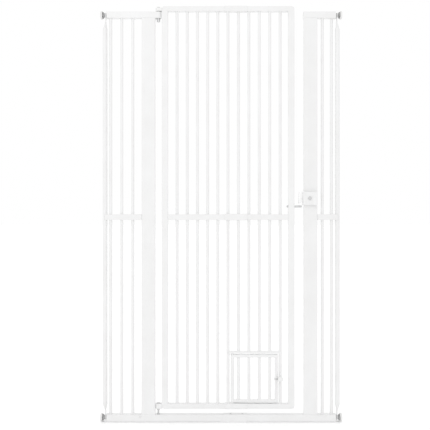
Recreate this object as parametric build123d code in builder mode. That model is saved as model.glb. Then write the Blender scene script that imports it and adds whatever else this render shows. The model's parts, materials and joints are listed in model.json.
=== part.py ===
from build123d import *
import os

os.makedirs("parts", exist_ok=True)

# An extra-tall pressure-fitted pet gate, in millimetres. +X runs across the doorway from the hinge side to
# the lock side, +Y points through the doorway, away from the lock button, and +Z is up. The origin is on
# the floor, midway between the two walls that the gate is wedged between.

# Heights above the floor
DOOR_TOP = 1800.0
DOOR_BOTTOM = 57.0
SIDE_RAIL_TOP = 1777.0
MID_RAIL_LOW = 875.0
FLOOR_RAIL_LOW = 1.5
FLOOR_RAIL_TOP = 32.0

# Distances across the doorway
HALF_SPAN = 523.0
RAIL_END = 497.0
TOP_RAIL_PROUD = 2.0
OUTER_STILE_X = 504.5
LEFT_POST_X = -315.5
RIGHT_POST_X = 387.0
HINGE_X = -272.5
DOOR_LEFT = -257.0
DOOR_RIGHT = 317.0

# Tube sections and clearances
WALL = 1.2
CORNER = 2.0
WELD_GAP = 0.02
RUNNING = 0.05
CLEARANCE = 0.3
EDGE = 0.8
INNER_CORNER = CORNER - WALL
DEPTH = 25.0
FLOOR_RAIL_DEPTH = 30.0
POST_WIDTH = 58.0
STILE_WIDTH = 26.0
SIDE_RAIL_HEIGHT = 28.0
MID_RAIL_HEIGHT = 24.0
DOOR_RAIL_HEIGHT = 21.5
BAR_R = 6.5
BAR_WALL = 0.9
OUTER_STILE_R = 10.0
DOOR_CORNER_R = 12.0

# Bars
LEFT_PANEL_BARS = [-384.1 - 47.8 * i for i in range(3)]
RIGHT_PANEL_BARS = [439.0 + 39.3 * i for i in range(2)]
DOOR_BARS_LEFT = [-191.6 + 44.2 * i for i in range(5)]
DOOR_BARS_RIGHT = [29.4 + 45.3 * i for i in range(6)]

# Telescopic joints: a sleeve round the butted ends of a left and a right tube
SLEEVE_START = 16.0
FLOOR_SLEEVE_START = 8.0
SLEEVE_END = 113.0
LEFT_TUBE_END = 80.0
RIGHT_TUBE_START = 84.0
SLEEVE_GAP = 0.3
SLEEVE_STEP = SLEEVE_GAP + WALL
SLEEVE_SCREWS = (40.0, 92.0)
SCREW_HEAD_R = 4.5
SCREW_HEAD_HEIGHT = 2.4
SCREW_HEAD_TAPER = 25.0
SCREW_R = 2.0

# Door pivots
PIN_R = 3.5
ARM_R = DEPTH / 2
BUSH_R = 6.0
BUSH_FLANGE_R = 8.0
BUSH_FLANGE = 1.9
BUSH_CAP = 3.0
BUSH_CAP_R = 8.5
ARM_EDGE = 1.0
BOLT_HEAD = 4.6
BOLT_HEAD_EDGE_R = 2.0
BOLT_TIP = 1.0
PIN_ROOT = 10.0
PIN_NUT_R = 6.5
PIN_NUT = 3.0
TOP_ARM_LOW = 1779.5
TOP_ARM_TOP = 1794.0
TOP_NUT_R = 6.8
TOP_NUT_FLANGE = 4.0
TOP_NUT_FLANGE_R = 8.5
TOP_NUT_LOW = 1734.0
LOWER_BUSH_LOW = 52.5
PIVOT_TIP = 76.0

# Wall spindles
SPINDLE_R = 5.0
TOP_SPINDLE_Z = SIDE_RAIL_TOP - SIDE_RAIL_HEIGHT / 2
FLOOR_SPINDLE_Z = 18.0
SPINDLE_INNER = 432.0
COLLAR_FLANGE = 3.5
COLLAR_FLANGE_R = 9.0
COLLAR_SPIGOT = 16.0
COLLAR_SPIGOT_R = 7.5
TAB_THICKNESS = 3.0
TAB_WIDTH = 22.0
TAB_CORNER = 1.35
TAB_HEIGHTS = (46.0, 1732.0)
STILE_ROUND_HEIGHTS = (76.0, 1702.0)
NUT_INNER = RAIL_END + COLLAR_FLANGE + TAB_THICKNESS + 0.2
NUT_LENGTH = 9.8
NUT_RIM = 3.5
NUT_HUB_R = 8.0
NUT_R = 14.0
NUT_NOTCHES = 8
NUT_NOTCH_R = 3.0
NUT_NOTCH_OUT = 1.5
PAD_THICKNESS = 8.0
PAD_R = 17.5
PAD_SOCKET = 4.0
PAD_EDGE_R = 1.5

# Lock on the right post
LOCK_LEFT = 352.5
LOCK_RIGHT = 414.5
LOCK_LOW = 939.0
LOCK_TOP = 996.0
LOCK_FRONT = -33.0
LOCK_WALL = 2.5
LOCK_CORNER_R = 4.0
LOCK_EDGE_R = 2.2
LOCK_SIDE = 8.5
LOCK_HOLLOW_CORNER_R = 2.0
POST_FACE = RIGHT_POST_X - POST_WIDTH / 2
BUTTON_X = 381.0
BUTTON_Z = 968.0
BUTTON_R = 7.2
BUTTON_FLANGE_R = 9.2
BUTTON_FLANGE = 1.7
BUTTON_PROUD = 3.5
BUTTON_INSIDE = 2.0
BUTTON_EDGE_R = 1.2
SPRING_R = 6.0
SPRING_WIRE_R = 0.5
SPRING_TURNS = 5
LOCK_SCREW_X = 402.0
LOCK_SCREW_HEIGHTS = (951.0, 984.0)
LOCK_BOSS_R = 4.5
LOCK_SCREW_GRIP = 10.0
LOCK_SCREW_BORE = 12.0
STRIKER_Z = 933.0
STRIKER_R = 4.5
STRIKER_SHANK_R = 3.0
STRIKER_TIP = 349.0
STRIKER_TIP_EDGE = 1.2
STRIKER_NUT = 5.0
STRIKER_NUT_R = 6.0
STRIKER_TAIL = 2.0

# The latch, and the upright T-shaped slot that it runs in
LATCH_LEFT = 336.5
LATCH_LOW = 946.0
LATCH_DEPTH = 22.0
LATCH_EDGE_R = 2.0
LATCH_MOUTH = 10.4
LATCH_MOUTH_TOP = 963.0
LATCH_RAIL_LOW = 966.0
LATCH_RAIL_TOP = 990.0
SLOT_LOW = LOCK_LOW + 4.0
SLOT_TOP = LOCK_TOP - 3.0
SLOT_NECK = 2.2
SLOT_NECK_WIDTH = 7.0
SLOT_HEAD = 2.5
SLOT_HEAD_WIDTH = 13.0

# Pet flap in the lower right of the door
HEADER_LOW = 295.0
HEADER_HEIGHT = 10.0
HEADER_DEPTH = 16.0
FLAP_LOW = 82.0
FLAP_TOP = 291.0
FLAP_TUBE_R = 6.5
FLAP_WALL = 1.0
FLAP_HINGE_X = 48.4
FLAP_LATCH_X = 238.7
FLAP_STUD = 20.0
CATCH_LOW = 180.0
CATCH_HEIGHT = 8.0
CATCH_WALL = 1.2
CATCH_TIP_X = 247.9
CATCH_TIP_DEPTH = 8.0
KNOB_Z = 186.0
KNOB_R = 12.0
KNOB_LENGTH = 9.0
KNOB_EDGE_R = 2.5
KNOB_SHAFT_R = 3.0
KNOB_SHAFT_TAIL = 2.0
FINGER_THICKNESS = 2.5
FINGER_LENGTH = 24.0
FINGER_WIDTH = 9.0
FINGER_EYE_R = 7.0

# Button-head bolt on the front of the floor rail
FLOOR_BOLT_X = LEFT_POST_X - POST_WIDTH / 2 - 7.0
FLOOR_BOLT_Z = 24.0
FLOOR_BOLT_R = 5.0
FLOOR_BOLT_HEAD = 2.8
FLOOR_BOLT_EDGE_R = 1.4


def save(piece, name):
    piece.part.label = name
    export_step(piece.part, f"parts/{name}.step")


def rail(
    name, start, end, low, height, depth=DEPTH, plates=(), pin_holes=(), saddle_x=None, collar_bore=None
):
    """A rectangular tube along X: plates close it, one of them bored, and pin holes go through its top."""
    with BuildPart() as tube:
        with BuildSketch(Plane.YZ.offset(start)):
            with Locations((0, low + height / 2)):
                RectangleRounded(depth, height, CORNER)
                RectangleRounded(depth - 2 * WALL, height - 2 * WALL, INNER_CORNER, mode=Mode.SUBTRACT)
        extrude(amount=end - start)
        for plate_x in plates:
            with BuildSketch(Plane.YZ.offset(plate_x)):
                with Locations((0, low + height / 2)):
                    Rectangle(depth - 2 * WALL, height - 2 * WALL)
            extrude(amount=WALL)
        for x in pin_holes:
            with Locations((x, 0, low + height)):
                Hole(PIN_R + RUNNING, depth=2 * WALL)
        if saddle_x is not None:
            with Locations((saddle_x, 0, low + height / 2)):
                Cylinder(OUTER_STILE_R + RUNNING, 2 * height, mode=Mode.SUBTRACT)
        if collar_bore is not None:
            plate_x, bore_z = collar_bore
            with BuildSketch(Plane.YZ.offset(plate_x)):
                with Locations((0, bore_z)):
                    Circle(COLLAR_SPIGOT_R + RUNNING)
            extrude(amount=WALL, mode=Mode.SUBTRACT)
    save(tube, name)


def post(name, x, cross_holes=()):
    """A broad upright tube between the floor rail and a side panel's top rail."""
    length = SIDE_RAIL_TOP - SIDE_RAIL_HEIGHT - FLOOR_RAIL_TOP
    with BuildPart() as tube:
        with BuildSketch(Plane.XY.offset(FLOOR_RAIL_TOP)):
            with Locations((x, 0)):
                RectangleRounded(POST_WIDTH, DEPTH, CORNER)
                RectangleRounded(POST_WIDTH - 2 * WALL, DEPTH - 2 * WALL, INNER_CORNER, mode=Mode.SUBTRACT)
        extrude(amount=length)
        for hole_x, hole_z in cross_holes:
            with Locations(Plane.XZ.offset(DEPTH / 2)):
                with Locations((hole_x, hole_z)):
                    Hole(SCREW_R + RUNNING, depth=DEPTH)
    save(tube, name)


def bars(name, spans):
    """Round tubes, each given as its distance across and its lower and upper end."""
    with BuildPart() as tubes:
        for x, low, high in spans:
            with BuildSketch(Plane.XY.offset(low)):
                with Locations((x, 0)):
                    Circle(BAR_R)
                    Circle(BAR_R - BAR_WALL, mode=Mode.SUBTRACT)
            extrude(amount=high - low)
    save(tubes, name)


def outer_stile(name, side):
    """The round tube beside a wall: both ends are pressed flat and drilled for the spindles."""
    tab_x = side * (RAIL_END + COLLAR_FLANGE + TAB_THICKNESS / 2)
    round_low, round_high = STILE_ROUND_HEIGHTS
    flat_low, flat_high = TAB_HEIGHTS
    with BuildPart() as stile:
        with BuildSketch(Plane.XY.offset(round_low)):
            with Locations((side * OUTER_STILE_X, 0)):
                Circle(OUTER_STILE_R)
        extrude(amount=round_high - round_low)
        for round_z, flat_z in ((round_low, flat_low), (round_high, flat_high)):
            with BuildSketch(Plane.XY.offset(round_z)):
                with Locations((side * OUTER_STILE_X, 0)):
                    Circle(OUTER_STILE_R)
            with BuildSketch(Plane.XY.offset(flat_z)):
                with Locations((tab_x, 0)):
                    RectangleRounded(TAB_THICKNESS, TAB_WIDTH, TAB_CORNER)
            loft()
        for flat_z, spindle_z in ((flat_low, FLOOR_SPINDLE_Z), (flat_high, TOP_SPINDLE_Z)):
            middle = (flat_z + spindle_z) / 2
            with BuildSketch(Plane.YZ.offset(tab_x - TAB_THICKNESS / 2)):
                with Locations((0, middle)):
                    Rectangle(TAB_WIDTH, abs(flat_z - spindle_z))
                with Locations((0, spindle_z)):
                    Circle(TAB_WIDTH / 2)
                    Circle(SPINDLE_R + RUNNING, mode=Mode.SUBTRACT)
            extrude(amount=TAB_THICKNESS)
        with BuildSketch(Plane.XY.offset(round_low)):
            with Locations((side * OUTER_STILE_X, 0)):
                Circle(OUTER_STILE_R - WALL)
        extrude(amount=round_high - round_low, mode=Mode.SUBTRACT)
    save(stile, name)


def collars(name, side):
    """The plastic inserts in the wall ends of the top rail and the floor rail, bored for the spindles."""
    with BuildPart() as pair:
        for z in (FLOOR_SPINDLE_Z, TOP_SPINDLE_Z):
            with BuildSketch(Plane.YZ.offset(side * RAIL_END)):
                with Locations((0, z)):
                    Circle(COLLAR_FLANGE_R)
                    Circle(SPINDLE_R + RUNNING, mode=Mode.SUBTRACT)
            extrude(amount=side * COLLAR_FLANGE)
            with BuildSketch(Plane.YZ.offset(side * (RAIL_END - COLLAR_SPIGOT))):
                with Locations((0, z)):
                    Circle(COLLAR_SPIGOT_R)
                    Circle(SPINDLE_R + RUNNING, mode=Mode.SUBTRACT)
            extrude(amount=side * COLLAR_SPIGOT)
    save(pair, name)


def spindle(name, side, z):
    """The threaded rod that pushes a wall pad outwards, drawn at its thread's outer diameter."""
    end = HALF_SPAN - PAD_THICKNESS + PAD_SOCKET
    with BuildPart() as rod:
        with BuildSketch(Plane.YZ.offset(side * SPINDLE_INNER)):
            with Locations((0, z)):
                Circle(SPINDLE_R)
        extrude(amount=side * (end - SPINDLE_INNER))
        chamfer(rod.edges().filter_by(GeomType.CIRCLE), EDGE)
    save(rod, name)


def hand_nut(name, side, z):
    """A cone-shaped nut with a notched rim, turned by hand."""
    cone = NUT_LENGTH - NUT_RIM
    with BuildPart() as nut:
        with BuildSketch(Plane.YZ.offset(side * NUT_INNER)):
            with Locations((0, z)):
                Circle(NUT_HUB_R)
        with BuildSketch(Plane.YZ.offset(side * (NUT_INNER + cone))):
            with Locations((0, z)):
                Circle(NUT_R)
        loft()
        with BuildSketch(Plane.YZ.offset(side * (NUT_INNER + cone))):
            with Locations((0, z)):
                Circle(NUT_R)
        extrude(amount=side * NUT_RIM)
        with BuildSketch(Plane.YZ.offset(side * NUT_INNER)):
            with Locations((0, z)):
                with PolarLocations(NUT_R + NUT_NOTCH_OUT, NUT_NOTCHES):
                    Circle(NUT_NOTCH_R)
                Circle(SPINDLE_R + RUNNING)
        extrude(amount=side * NUT_LENGTH, mode=Mode.SUBTRACT)
    save(nut, name)


def wall_pad(name, side, z):
    """The round pad that bears on the wall, with a blind socket for the spindle's end."""
    with BuildPart() as pad:
        with BuildSketch(Plane.YZ.offset(side * (HALF_SPAN - PAD_THICKNESS))):
            with Locations((0, z)):
                Circle(PAD_R)
        extrude(amount=side * PAD_THICKNESS)
        fillet(pad.edges().filter_by(GeomType.CIRCLE), PAD_EDGE_R)
        with BuildSketch(Plane.YZ.offset(side * (HALF_SPAN - PAD_THICKNESS))):
            with Locations((0, z)):
                Circle(SPINDLE_R + RUNNING)
        extrude(amount=side * (PAD_SOCKET + RUNNING), mode=Mode.SUBTRACT)
    save(pad, name)


def hinge_arms():
    """The door's two arms: each ends in a half round about the pivot line and is bored for its bush."""
    spans = ((TOP_ARM_LOW, TOP_ARM_TOP), (DOOR_BOTTOM, DOOR_BOTTOM + DOOR_RAIL_HEIGHT))
    with BuildPart() as arms:
        for low, high in spans:
            with BuildSketch(Plane.XY.offset(low)):
                with Locations(((DOOR_LEFT + HINGE_X) / 2, 0)):
                    Rectangle(DOOR_LEFT - HINGE_X, DEPTH)
                with Locations((HINGE_X, 0)):
                    Circle(ARM_R)
            extrude(amount=high - low)
        chamfer(arms.edges().filter_by(Axis.X), ARM_EDGE)
        with BuildSketch():
            with Locations((HINGE_X, 0)):
                Circle(BUSH_R + WELD_GAP)
        extrude(amount=DOOR_TOP, mode=Mode.SUBTRACT)
    save(arms, "door_hinge_arms")


def left_top_rail():
    """The left panel's top rail: it runs over the post and ends round, with the upper pivot bolt in it."""
    low = SIDE_RAIL_TOP - SIDE_RAIL_HEIGHT
    with BuildPart() as top_rail:
        with BuildSketch(Plane.XY.offset(low)):
            with Locations(((HINGE_X - RAIL_END) / 2, 0)):
                Rectangle(RAIL_END + HINGE_X, DEPTH)
            with Locations((HINGE_X, 0)):
                Circle(ARM_R)
        extrude(amount=SIDE_RAIL_HEIGHT)
        fillet(top_rail.edges().filter_by(Axis.X), CORNER)
        with BuildSketch(Plane.XY.offset(low + WALL)):
            with Locations(((HINGE_X - RAIL_END + WALL) / 2, 0)):
                Rectangle(RAIL_END + HINGE_X - WALL, DEPTH - 2 * WALL)
            with Locations((HINGE_X, 0)):
                Circle(ARM_R - WALL)
        extrude(amount=SIDE_RAIL_HEIGHT - 2 * WALL, mode=Mode.SUBTRACT)
        with Locations((HINGE_X, 0, SIDE_RAIL_TOP)):
            Hole(PIN_R + RUNNING, depth=SIDE_RAIL_HEIGHT)
        with BuildSketch(Plane.YZ.offset(-RAIL_END)):
            with Locations((0, TOP_SPINDLE_Z)):
                Circle(COLLAR_SPIGOT_R + RUNNING)
        extrude(amount=WALL, mode=Mode.SUBTRACT)
    save(top_rail, "left_top_rail")


def door_outline():
    """The door frame's outside shape, seen from the front: a sketch on the XZ plane."""
    with BuildSketch(Plane.XZ) as outline:
        with Locations(((DOOR_LEFT + DOOR_RIGHT) / 2, (DOOR_BOTTOM + DOOR_TOP) / 2)):
            Rectangle(DOOR_RIGHT - DOOR_LEFT, DOOR_TOP - DOOR_BOTTOM)
        corners = outline.vertices().group_by(Axis.Z)
        fillet(corners[-1], DOOR_CORNER_R)
        fillet(corners[0], CORNER)
    return outline.sketch


def door_member(name, corners, grain, cavity_middle, cavity_size, bolt_height=None):
    """One mitred tube of the door frame: its front view, the direction it runs in and its hollow."""
    outline = door_outline()
    with BuildPart() as member:
        with BuildSketch(Plane.XZ) as front:
            with BuildLine():
                Polyline(*corners, close=True)
            make_face()
            add(outline, mode=Mode.INTERSECT)
        extrude(amount=DEPTH / 2, both=True)
        fillet(member.edges().filter_by(grain).filter_by(lambda e: abs(e.center().Y) > DEPTH / 3), CORNER)
        with Locations(cavity_middle):
            Box(*cavity_size, mode=Mode.SUBTRACT)
        if bolt_height is not None:
            with BuildSketch(Plane.YZ.offset(DOOR_RIGHT - 2 * STILE_WIDTH)):
                with Locations((0, bolt_height)):
                    Circle(STRIKER_SHANK_R + RUNNING)
            extrude(amount=3 * STILE_WIDTH, mode=Mode.SUBTRACT)
    save(member, name)


def door_frame():
    """The door's two stiles, and the left and right tubes of its top and bottom rails, mitred together."""
    inner_left = DOOR_LEFT + STILE_WIDTH
    inner_right = DOOR_RIGHT - STILE_WIDTH
    inner_low = DOOR_BOTTOM + DOOR_RAIL_HEIGHT
    inner_high = DOOR_TOP - DOOR_RAIL_HEIGHT
    hollow_depth = DEPTH - 2 * WALL
    hollow_height = DOOR_RAIL_HEIGHT - 2 * WALL
    stile_middle = (inner_low + inner_high) / 2
    stile_hollow = (STILE_WIDTH - 2 * WALL, hollow_depth, inner_high - inner_low)
    left_stile = [
        (DOOR_LEFT, DOOR_BOTTOM),
        (inner_left, inner_low),
        (inner_left, inner_high),
        (DOOR_LEFT, DOOR_TOP),
    ]
    right_stile = [
        (DOOR_RIGHT, DOOR_BOTTOM),
        (inner_right, inner_low),
        (inner_right, inner_high),
        (DOOR_RIGHT, DOOR_TOP),
    ]
    door_member(
        "door_hinge_stile",
        left_stile,
        Axis.Z,
        (DOOR_LEFT + STILE_WIDTH / 2, 0, stile_middle),
        stile_hollow,
    )
    door_member(
        "door_latch_stile",
        right_stile,
        Axis.Z,
        (DOOR_RIGHT - STILE_WIDTH / 2, 0, stile_middle),
        stile_hollow,
        STRIKER_Z,
    )
    for level, outer_z, inner_z in (("top", DOOR_TOP, inner_high), ("bottom", DOOR_BOTTOM, inner_low)):
        for half, outer_x, inner_x, end_x in (
            ("left", DOOR_LEFT, inner_left, LEFT_TUBE_END),
            ("right", DOOR_RIGHT, inner_right, RIGHT_TUBE_START),
        ):
            door_member(
                f"door_{level}_rail_{half}",
                [(outer_x, outer_z), (end_x, outer_z), (end_x, inner_z), (inner_x, inner_z)],
                Axis.X,
                ((inner_x + end_x) / 2, 0, (outer_z + inner_z) / 2),
                (abs(end_x - inner_x), hollow_depth, hollow_height),
            )


def sleeves(name, start, rails):
    """Sleeves round the tube ends, each given by its rail's lower face, height and depth."""
    with BuildPart() as group:
        for low, height, depth in rails:
            with BuildSketch(Plane.YZ.offset(start)):
                with Locations((0, low + height / 2)):
                    RectangleRounded(depth + 2 * SLEEVE_STEP, height + 2 * SLEEVE_STEP, CORNER + SLEEVE_STEP)
                    RectangleRounded(
                        depth + 2 * SLEEVE_GAP, height + 2 * SLEEVE_GAP, CORNER, mode=Mode.SUBTRACT
                    )
            extrude(amount=SLEEVE_END - start)
            for x in SLEEVE_SCREWS:
                with Locations(screw_seat(low, height, depth, x)):
                    Hole(SCREW_R + RUNNING, depth=3 * SLEEVE_STEP)
    save(group, name)


def screw_seat(low, height, depth, x):
    """Where a clamp screw's head sits: on top of the highest and lowest rails, behind the middle one."""
    if low == MID_RAIL_LOW:
        return Plane((x, depth / 2 + SLEEVE_STEP, low + height / 2), x_dir=(1, 0, 0), z_dir=(0, 1, 0))
    if low == DOOR_BOTTOM:
        return Plane((x, 0, low - SLEEVE_STEP), x_dir=(1, 0, 0), z_dir=(0, 0, -1))
    return Plane((x, 0, low + height + SLEEVE_STEP), x_dir=(1, 0, 0), z_dir=(0, 0, 1))


def sleeve_screws(name, rails):
    """Clamp screws: each goes through the sleeve and ends just clear of the tube inside."""
    shank = SLEEVE_STEP - RUNNING
    with BuildPart() as screws:
        for low, height, depth in rails:
            for x in SLEEVE_SCREWS:
                with BuildSketch(screw_seat(low, height, depth, x)):
                    Circle(SCREW_HEAD_R)
                extrude(amount=SCREW_HEAD_HEIGHT, taper=SCREW_HEAD_TAPER)
                with BuildSketch(screw_seat(low, height, depth, x)):
                    Circle(SCREW_R)
                extrude(amount=-shank)
    save(screws, name)


def door_pivots():
    """The upper pivot bolt and its nut, and the lower pivot pin, all fixed to the left half of the frame."""
    head_low = TOP_ARM_TOP + CLEARANCE
    side_rail_low = SIDE_RAIL_TOP - SIDE_RAIL_HEIGHT
    with BuildPart() as bolt:
        with BuildSketch(Plane.XY.offset(head_low)):
            with Locations((HINGE_X, 0)):
                Circle(BUSH_FLANGE_R)
        extrude(amount=BOLT_HEAD)
        fillet(bolt.edges().sort_by(Axis.Z)[-1], BOLT_HEAD_EDGE_R)
        with BuildSketch(Plane.XY.offset(TOP_NUT_LOW + BOLT_TIP)):
            with Locations((HINGE_X, 0)):
                Circle(PIN_R)
        extrude(amount=head_low - TOP_NUT_LOW - BOLT_TIP)
    save(bolt, "top_hinge_bolt")

    with BuildPart() as nut:
        with BuildSketch(Plane.XY.offset(TOP_NUT_LOW)):
            with Locations((HINGE_X, 0)):
                RegularPolygon(TOP_NUT_R, 6)
        extrude(amount=side_rail_low - TOP_NUT_LOW)
        chamfer(nut.edges().filter_by(GeomType.LINE).group_by(Axis.Z)[0], EDGE)
        with BuildSketch(Plane.XY.offset(side_rail_low - TOP_NUT_FLANGE)):
            with Locations((HINGE_X, 0)):
                Circle(TOP_NUT_FLANGE_R)
        extrude(amount=TOP_NUT_FLANGE)
        with Locations((HINGE_X, 0, side_rail_low)):
            Hole(PIN_R + RUNNING, depth=2 * TOP_NUT_FLANGE + SIDE_RAIL_HEIGHT)
    save(nut, "top_hinge_nut")

    with BuildPart() as pin:
        with BuildSketch(Plane.XY.offset(FLOOR_RAIL_TOP - PIN_ROOT)):
            with Locations((HINGE_X, 0)):
                Circle(PIN_R)
        extrude(amount=PIVOT_TIP - FLOOR_RAIL_TOP + PIN_ROOT)
        with BuildSketch(Plane.XY.offset(FLOOR_RAIL_TOP)):
            with Locations((HINGE_X, 0)):
                RegularPolygon(PIN_NUT_R, 6)
        extrude(amount=PIN_NUT)
        chamfer(pin.edges().sort_by(Axis.Z)[-1], EDGE)
    save(pin, "bottom_hinge_pin")


def hinge_bushes():
    """The two flanged bushes in the door's arms: open above, and closed below, where the pin carries it."""
    with BuildPart() as bushes:
        with BuildSketch(Plane.XY.offset(TOP_ARM_LOW)):
            with Locations((HINGE_X, 0)):
                Circle(BUSH_R)
        extrude(amount=TOP_ARM_TOP - TOP_ARM_LOW)
        with BuildSketch(Plane.XY.offset(TOP_ARM_LOW)):
            with Locations((HINGE_X, 0)):
                Circle(BUSH_FLANGE_R)
        extrude(amount=-BUSH_FLANGE)
        with Locations((HINGE_X, 0, TOP_ARM_TOP)):
            Hole(PIN_R + RUNNING, depth=2 * (TOP_ARM_TOP - TOP_ARM_LOW))
        with BuildSketch(Plane.XY.offset(LOWER_BUSH_LOW)):
            with Locations((HINGE_X, 0)):
                Circle(BUSH_FLANGE_R)
        extrude(amount=DOOR_BOTTOM - LOWER_BUSH_LOW)
        with BuildSketch(Plane.XY.offset(DOOR_BOTTOM)):
            with Locations((HINGE_X, 0)):
                Circle(BUSH_R)
        extrude(amount=DOOR_RAIL_HEIGHT)
        with BuildSketch(Plane.XY.offset(DOOR_BOTTOM + DOOR_RAIL_HEIGHT)):
            with Locations((HINGE_X, 0)):
                Circle(BUSH_CAP_R)
        extrude(amount=BUSH_CAP)
        with BuildSketch(Plane.XY.offset(LOWER_BUSH_LOW)):
            with Locations((HINGE_X, 0)):
                Circle(PIN_R + RUNNING)
        extrude(amount=PIVOT_TIP + CLEARANCE - LOWER_BUSH_LOW, mode=Mode.SUBTRACT)
    save(bushes, "hinge_bushes")


def striker():
    """The rod that the latch closes over, and the nut that holds it in the latch stile."""
    inner_face = DOOR_RIGHT - STILE_WIDTH
    tail = STRIKER_NUT + STRIKER_TAIL
    with BuildPart() as rod:
        with BuildSketch(Plane.YZ.offset(DOOR_RIGHT)):
            with Locations((0, STRIKER_Z)):
                Circle(STRIKER_R)
        extrude(amount=STRIKER_TIP - DOOR_RIGHT)
        chamfer(rod.edges().sort_by(Axis.X)[-1], STRIKER_TIP_EDGE)
        with BuildSketch(Plane.YZ.offset(inner_face - tail)):
            with Locations((0, STRIKER_Z)):
                Circle(STRIKER_SHANK_R)
        extrude(amount=STILE_WIDTH + tail)
    save(rod, "striker_rod")

    with BuildPart() as nut:
        with BuildSketch(Plane.YZ.offset(inner_face)):
            with Locations((0, STRIKER_Z)):
                RegularPolygon(STRIKER_NUT_R, 6)
                Circle(STRIKER_SHANK_R + RUNNING, mode=Mode.SUBTRACT)
        extrude(amount=-STRIKER_NUT)
    save(nut, "striker_nut")


def lock():
    """The lock on the post: its housing, two screws, the push button and its spring."""
    back = -DEPTH / 2
    centre_z = (LOCK_LOW + LOCK_TOP) / 2
    height = LOCK_TOP - LOCK_LOW
    hollow_left = LOCK_LEFT + LOCK_SIDE
    hollow_right = LOCK_RIGHT - LOCK_WALL
    with BuildPart() as housing:
        with BuildSketch(Plane.XZ.offset(-back)):
            with Locations(((LOCK_LEFT + LOCK_RIGHT) / 2, centre_z)):
                RectangleRounded(LOCK_RIGHT - LOCK_LEFT, height, LOCK_CORNER_R)
        extrude(amount=back - LOCK_FRONT)
        fillet(housing.faces().sort_by(Axis.Y)[0].edges(), LOCK_EDGE_R)
        with BuildSketch(Plane.XZ.offset(-back)):
            with Locations(((hollow_left + hollow_right) / 2, centre_z)):
                RectangleRounded(hollow_right - hollow_left, height - 2 * LOCK_WALL, LOCK_HOLLOW_CORNER_R)
        extrude(amount=back - LOCK_FRONT - LOCK_WALL, mode=Mode.SUBTRACT)
        with Locations(((LOCK_LEFT + POST_FACE) / 2, 0, centre_z)):
            Box(POST_FACE - LOCK_LEFT, DEPTH, height)
        with BuildSketch(Plane.XZ.offset(-back)):
            for z in LOCK_SCREW_HEIGHTS:
                with Locations((LOCK_SCREW_X, z)):
                    Circle(LOCK_BOSS_R)
        extrude(amount=back - LOCK_FRONT - LOCK_WALL)
        with BuildSketch(Plane.XZ.offset(-back)):
            for z in LOCK_SCREW_HEIGHTS:
                with Locations((LOCK_SCREW_X, z)):
                    Circle(SCREW_R + RUNNING)
        extrude(amount=LOCK_SCREW_BORE, mode=Mode.SUBTRACT)
        with BuildSketch(Plane.XZ.offset(-LOCK_FRONT)):
            with Locations((BUTTON_X, BUTTON_Z)):
                Circle(BUTTON_R + CLEARANCE)
        extrude(amount=-2 * LOCK_WALL, mode=Mode.SUBTRACT)
        with BuildSketch(Plane.XY.offset(SLOT_LOW)):
            with Locations((LOCK_LEFT + SLOT_NECK / 2, 0)):
                Rectangle(SLOT_NECK, SLOT_NECK_WIDTH)
            with Locations((LOCK_LEFT + SLOT_NECK + SLOT_HEAD / 2, 0)):
                Rectangle(SLOT_HEAD, SLOT_HEAD_WIDTH)
        extrude(amount=SLOT_TOP - SLOT_LOW, mode=Mode.SUBTRACT)
    save(housing, "lock_housing")

    with BuildPart() as screws:
        for z in LOCK_SCREW_HEIGHTS:
            with BuildSketch(Plane.XZ.offset(back)):
                with Locations((LOCK_SCREW_X, z)):
                    Circle(SCREW_HEAD_R)
            extrude(amount=-SCREW_HEAD_HEIGHT)
            with BuildSketch(Plane.XZ.offset(back)):
                with Locations((LOCK_SCREW_X, z)):
                    Circle(SCREW_R)
            extrude(amount=DEPTH + LOCK_SCREW_GRIP)
    save(screws, "lock_screws")

    inside = LOCK_FRONT + LOCK_WALL
    with BuildPart() as button:
        with BuildSketch(Plane.XZ.offset(BUTTON_PROUD - LOCK_FRONT)):
            with Locations((BUTTON_X, BUTTON_Z)):
                Circle(BUTTON_R)
        extrude(amount=-BUTTON_PROUD - LOCK_WALL - BUTTON_INSIDE)
        fillet(button.edges().sort_by(Axis.Y)[0], BUTTON_EDGE_R)
        with BuildSketch(Plane.XZ.offset(-inside - CLEARANCE)):
            with Locations((BUTTON_X, BUTTON_Z)):
                Circle(BUTTON_FLANGE_R)
        extrude(amount=-BUTTON_FLANGE)
    save(button, "lock_button")

    coil_front = inside + BUTTON_INSIDE + SPRING_WIRE_R + CLEARANCE
    length = back - SPRING_WIRE_R - CLEARANCE - coil_front
    centre = (BUTTON_X, coil_front, BUTTON_Z)
    with BuildPart() as spring:
        with BuildLine() as coil:
            Helix(length / SPRING_TURNS, length, SPRING_R, center=centre, direction=(0, 1, 0))
        with BuildSketch(Plane(coil.line @ 0, z_dir=coil.line % 0)):
            Circle(SPRING_WIRE_R)
        sweep()
    save(spring, "lock_button_spring")


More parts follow.
